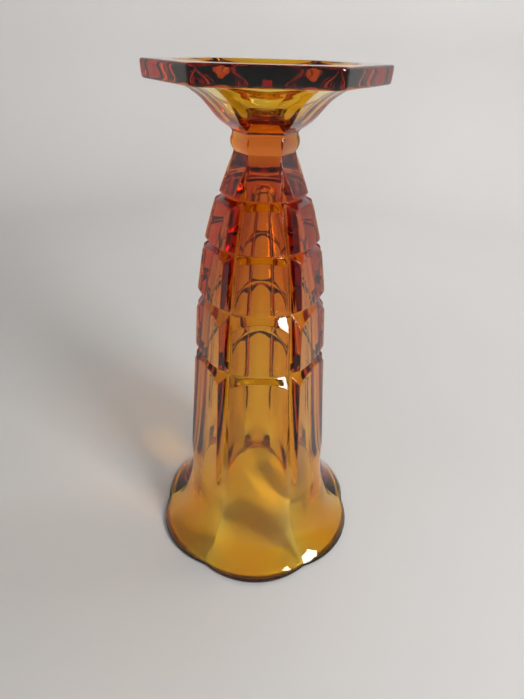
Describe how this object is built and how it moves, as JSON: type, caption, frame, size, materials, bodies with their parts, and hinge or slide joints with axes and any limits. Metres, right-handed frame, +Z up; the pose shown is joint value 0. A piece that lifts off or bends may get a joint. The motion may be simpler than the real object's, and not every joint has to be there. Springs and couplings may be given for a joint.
{
  "type": "glass candlestick",
  "caption": "Amber pressed glass candlestick: hexagonal dish on a faceted trumpet and knop, over a tiered, fluted hollow body that opens into a scalloped bell foot.",
  "frame": {"origin": "on the vertical axis, on the surface that the scalloped rim stands on", "axes": "+Z up along the axis, -Y towards the middle of one of the six panels, +X through one of the six corners"},
  "size_m": [0.114, 0.1184, 0.248],
  "materials": {
    "amber_glass": "fire-polished transparent amber pressed glass"
  },
  "bodies": {
    "root": {"hex_dish": "amber_glass", "knop_collar": "amber_glass", "tiered_bell": "amber_glass"}
  },
  "joints": []
}
